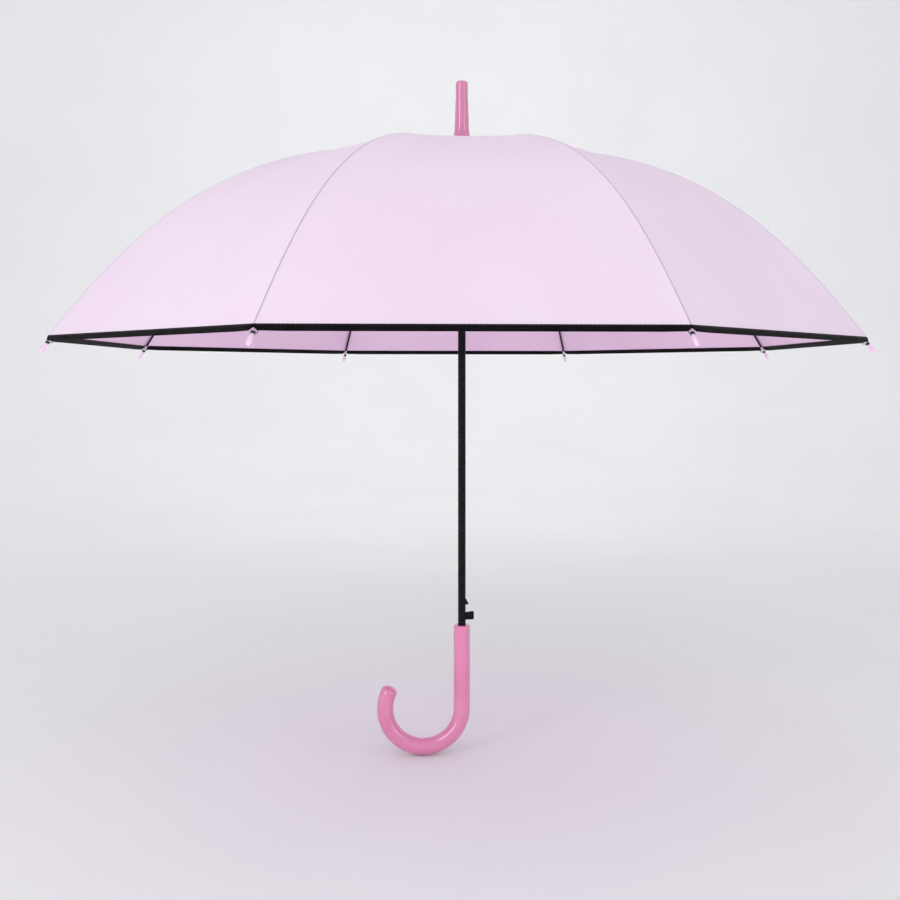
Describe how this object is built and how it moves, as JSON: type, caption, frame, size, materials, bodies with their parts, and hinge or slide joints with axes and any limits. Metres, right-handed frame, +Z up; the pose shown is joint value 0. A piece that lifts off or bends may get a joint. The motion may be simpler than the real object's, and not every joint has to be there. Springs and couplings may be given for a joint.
{
  "type": "children's umbrella",
  "caption": "Open straight umbrella for a child: pale octagonal cover with dark hem tape, slim dark shaft, sliding runner and a glossy pink crook handle.",
  "frame": {"origin": "on the shaft's axis at the level of the crook's lowest point", "axes": "+Z up along the shaft towards the ferrule; the crook opens towards -X and the opening lever stands out towards +X; one gore faces -Y"},
  "size_m": [0.7486, 0.7486, 0.7],
  "materials": {
    "black_steel": "satin black lacquer",
    "pink_gloss": "glossy pink moulded plastic",
    "dark_plastic": "semi-matt black moulded plastic",
    "cover_fabric": "very pale pink-lilac coated polyester",
    "black_tape": "black woven binding tape",
    "steel_wire": "plain drawn wire",
    "black_rod": "smooth black fibreglass",
    "tip_plastic": "pale pink moulded plastic"
  },
  "bodies": {
    "frame": {"shaft_tube": "black_steel", "handle": "pink_gloss", "ferrule": "pink_gloss", "cover_washer": "dark_plastic", "cover": "cover_fabric", "hem_binding": "black_tape", "closing_tab": "cover_fabric", "tab_stud": "pink_gloss", "top_notch": "dark_plastic", "top_notch_wire": "steel_wire", "notch_pin": "steel_wire", "lever_pin": "steel_wire"},
    "rib_1": {"rib_channel_1": "black_steel", "joint_rivet_1": "steel_wire"},
    "rod_1": {"rib_rod_1": "black_rod", "rib_tip_1": "tip_plastic"},
    "stretcher_1": {"stretcher_1": "black_steel"},
    "rib_2": {"rib_channel_2": "black_steel", "joint_rivet_2": "steel_wire"},
    "rod_2": {"rib_rod_2": "black_rod", "rib_tip_2": "tip_plastic"},
    "stretcher_2": {"stretcher_2": "black_steel"},
    "rib_3": {"rib_channel_3": "black_steel", "joint_rivet_3": "steel_wire"},
    "rod_3": {"rib_rod_3": "black_rod", "rib_tip_3": "tip_plastic"},
    "stretcher_3": {"stretcher_3": "black_steel"},
    "rib_4": {"rib_channel_4": "black_steel", "joint_rivet_4": "steel_wire"},
    "rod_4": {"rib_rod_4": "black_rod", "rib_tip_4": "tip_plastic"},
    "stretcher_4": {"stretcher_4": "black_steel"},
    "rib_5": {"rib_channel_5": "black_steel", "joint_rivet_5": "steel_wire"},
    "rod_5": {"rib_rod_5": "black_rod", "rib_tip_5": "tip_plastic"},
    "stretcher_5": {"stretcher_5": "black_steel"},
    "rib_6": {"rib_channel_6": "black_steel", "joint_rivet_6": "steel_wire"},
    "rod_6": {"rib_rod_6": "black_rod", "rib_tip_6": "tip_plastic"},
    "stretcher_6": {"stretcher_6": "black_steel"},
    "rib_7": {"rib_channel_7": "black_steel", "joint_rivet_7": "steel_wire"},
    "rod_7": {"rib_rod_7": "black_rod", "rib_tip_7": "tip_plastic"},
    "stretcher_7": {"stretcher_7": "black_steel"},
    "rib_8": {"rib_channel_8": "black_steel", "joint_rivet_8": "steel_wire"},
    "rod_8": {"rib_rod_8": "black_rod", "rib_tip_8": "tip_plastic"},
    "stretcher_8": {"stretcher_8": "black_steel"},
    "runner": {"runner": "dark_plastic", "runner_wire": "steel_wire"},
    "spring_end": {"spring_cup": "dark_plastic", "opening_spring": "steel_wire"},
    "lever": {"trigger_lever": "black_steel"}
  },
  "joints": [
    {"name": "rib_1_fold", "type": "hinge", "parent": "frame", "child": "rib_1", "pos_m": [0.00739, 0.00306, 0.62247], "axis": [-0.3827, 0.9239, 0], "range_deg": [0, 77.43], "stiffness_Nm_per_rad": 0.25, "springref_deg": -68.75, "deforming": ["cover", "hem_binding", "closing_tab", "tab_stud"]},
    {"name": "rod_1_flex", "type": "hinge", "parent": "rib_1", "child": "rod_1", "pos_m": [0.19893, 0.0824, 0.58854], "axis": [-0.3827, 0.9239, 0], "range_deg": [-29.59, 0]},
    {"name": "stretcher_1_pivot", "type": "hinge", "parent": "rib_1", "child": "stretcher_1", "pos_m": [0.19893, 0.0824, 0.58854], "axis": [-0.3827, 0.9239, 0], "range_deg": [-154.88, 0]},
    {"name": "rib_2_fold", "type": "hinge", "parent": "frame", "child": "rib_2", "pos_m": [0.00306, 0.00739, 0.62247], "axis": [-0.9239, 0.3827, 0], "range_deg": [0, 77.43]},
    {"name": "rod_2_flex", "type": "hinge", "parent": "rib_2", "child": "rod_2", "pos_m": [0.0824, 0.19893, 0.58854], "axis": [-0.9239, 0.3827, 0], "range_deg": [-29.59, 0]},
    {"name": "stretcher_2_pivot", "type": "hinge", "parent": "rib_2", "child": "stretcher_2", "pos_m": [0.0824, 0.19893, 0.58854], "axis": [-0.9239, 0.3827, 0], "range_deg": [-154.88, 0]},
    {"name": "rib_3_fold", "type": "hinge", "parent": "frame", "child": "rib_3", "pos_m": [-0.00306, 0.00739, 0.62247], "axis": [-0.9239, -0.3827, 0], "range_deg": [0, 77.43]},
    {"name": "rod_3_flex", "type": "hinge", "parent": "rib_3", "child": "rod_3", "pos_m": [-0.0824, 0.19893, 0.58854], "axis": [-0.9239, -0.3827, 0], "range_deg": [-29.59, 0]},
    {"name": "stretcher_3_pivot", "type": "hinge", "parent": "rib_3", "child": "stretcher_3", "pos_m": [-0.0824, 0.19893, 0.58854], "axis": [-0.9239, -0.3827, 0], "range_deg": [-154.88, 0]},
    {"name": "rib_4_fold", "type": "hinge", "parent": "frame", "child": "rib_4", "pos_m": [-0.00739, 0.00306, 0.62247], "axis": [-0.3827, -0.9239, 0], "range_deg": [0, 77.43]},
    {"name": "rod_4_flex", "type": "hinge", "parent": "rib_4", "child": "rod_4", "pos_m": [-0.19893, 0.0824, 0.58854], "axis": [-0.3827, -0.9239, 0], "range_deg": [-29.59, 0]},
    {"name": "stretcher_4_pivot", "type": "hinge", "parent": "rib_4", "child": "stretcher_4", "pos_m": [-0.19893, 0.0824, 0.58854], "axis": [-0.3827, -0.9239, 0], "range_deg": [-154.88, 0]},
    {"name": "rib_5_fold", "type": "hinge", "parent": "frame", "child": "rib_5", "pos_m": [-0.00739, -0.00306, 0.62247], "axis": [0.3827, -0.9239, 0], "range_deg": [0, 77.43]},
    {"name": "rod_5_flex", "type": "hinge", "parent": "rib_5", "child": "rod_5", "pos_m": [-0.19893, -0.0824, 0.58854], "axis": [0.3827, -0.9239, 0], "range_deg": [-29.59, 0]},
    {"name": "stretcher_5_pivot", "type": "hinge", "parent": "rib_5", "child": "stretcher_5", "pos_m": [-0.19893, -0.0824, 0.58854], "axis": [0.3827, -0.9239, 0], "range_deg": [-154.88, 0]},
    {"name": "rib_6_fold", "type": "hinge", "parent": "frame", "child": "rib_6", "pos_m": [-0.00306, -0.00739, 0.62247], "axis": [0.9239, -0.3827, 0], "range_deg": [0, 77.43]},
    {"name": "rod_6_flex", "type": "hinge", "parent": "rib_6", "child": "rod_6", "pos_m": [-0.0824, -0.19893, 0.58854], "axis": [0.9239, -0.3827, 0], "range_deg": [-29.59, 0]},
    {"name": "stretcher_6_pivot", "type": "hinge", "parent": "rib_6", "child": "stretcher_6", "pos_m": [-0.0824, -0.19893, 0.58854], "axis": [0.9239, -0.3827, 0], "range_deg": [-154.88, 0]},
    {"name": "rib_7_fold", "type": "hinge", "parent": "frame", "child": "rib_7", "pos_m": [0.00306, -0.00739, 0.62247], "axis": [0.9239, 0.3827, 0], "range_deg": [0, 77.43]},
    {"name": "rod_7_flex", "type": "hinge", "parent": "rib_7", "child": "rod_7", "pos_m": [0.0824, -0.19893, 0.58854], "axis": [0.9239, 0.3827, 0], "range_deg": [-29.59, 0]},
    {"name": "stretcher_7_pivot", "type": "hinge", "parent": "rib_7", "child": "stretcher_7", "pos_m": [0.0824, -0.19893, 0.58854], "axis": [0.9239, 0.3827, 0], "range_deg": [-154.88, 0]},
    {"name": "rib_8_fold", "type": "hinge", "parent": "frame", "child": "rib_8", "pos_m": [0.00739, -0.00306, 0.62247], "axis": [0.3827, 0.9239, 0], "range_deg": [0, 77.43]},
    {"name": "rod_8_flex", "type": "hinge", "parent": "rib_8", "child": "rod_8", "pos_m": [0.19893, -0.0824, 0.58854], "axis": [0.3827, 0.9239, 0], "range_deg": [-29.59, 0]},
    {"name": "stretcher_8_pivot", "type": "hinge", "parent": "rib_8", "child": "stretcher_8", "pos_m": [0.19893, -0.0824, 0.58854], "axis": [0.3827, 0.9239, 0], "range_deg": [-154.88, 0]},
    {"name": "runner_pivot", "type": "hinge", "parent": "stretcher_1", "child": "runner", "pos_m": [0.00739, 0.00306, 0.55462], "axis": [-0.3827, 0.9239, 0], "range_deg": [0, 77.44]},
    {"name": "spring_stretch", "type": "slide", "parent": "frame", "child": "spring_end", "axis": [0, 0, -1], "range_m": [0, 0.35182], "deforming": ["opening_spring"]},
    {"name": "lever_press", "type": "hinge", "parent": "frame", "child": "lever", "pos_m": [0, 0, 0.122], "axis": [0, -1, 0], "range_deg": [0, 4.6], "stiffness_Nm_per_rad": 0.4, "springref_deg": -2.86}
  ],
  "couplings": [
    {"joint": "rod_1_flex", "follows": "rib_1_fold", "ratio": -0.382},
    {"joint": "stretcher_1_pivot", "follows": "rib_1_fold", "ratio": -2},
    {"joint": "rib_2_fold", "follows": "rib_1_fold", "ratio": 1},
    {"joint": "rod_2_flex", "follows": "rib_1_fold", "ratio": -0.382},
    {"joint": "stretcher_2_pivot", "follows": "rib_1_fold", "ratio": -2},
    {"joint": "rib_3_fold", "follows": "rib_1_fold", "ratio": 1},
    {"joint": "rod_3_flex", "follows": "rib_1_fold", "ratio": -0.382},
    {"joint": "stretcher_3_pivot", "follows": "rib_1_fold", "ratio": -2},
    {"joint": "rib_4_fold", "follows": "rib_1_fold", "ratio": 1},
    {"joint": "rod_4_flex", "follows": "rib_1_fold", "ratio": -0.382},
    {"joint": "stretcher_4_pivot", "follows": "rib_1_fold", "ratio": -2},
    {"joint": "rib_5_fold", "follows": "rib_1_fold", "ratio": 1},
    {"joint": "rod_5_flex", "follows": "rib_1_fold", "ratio": -0.382},
    {"joint": "stretcher_5_pivot", "follows": "rib_1_fold", "ratio": -2},
    {"joint": "rib_6_fold", "follows": "rib_1_fold", "ratio": 1},
    {"joint": "rod_6_flex", "follows": "rib_1_fold", "ratio": -0.382},
    {"joint": "stretcher_6_pivot", "follows": "rib_1_fold", "ratio": -2},
    {"joint": "rib_7_fold", "follows": "rib_1_fold", "ratio": 1},
    {"joint": "rod_7_flex", "follows": "rib_1_fold", "ratio": -0.382},
    {"joint": "stretcher_7_pivot", "follows": "rib_1_fold", "ratio": -2},
    {"joint": "rib_8_fold", "follows": "rib_1_fold", "ratio": 1},
    {"joint": "rod_8_flex", "follows": "rib_1_fold", "ratio": -0.382},
    {"joint": "stretcher_8_pivot", "follows": "rib_1_fold", "ratio": -2},
    {"joint": "runner_pivot", "follows": "rib_1_fold", "ratio": 1},
    {"joint": "spring_stretch", "follows": "rib_1_fold", "m_per_rad": 0.26018}
  ]
}
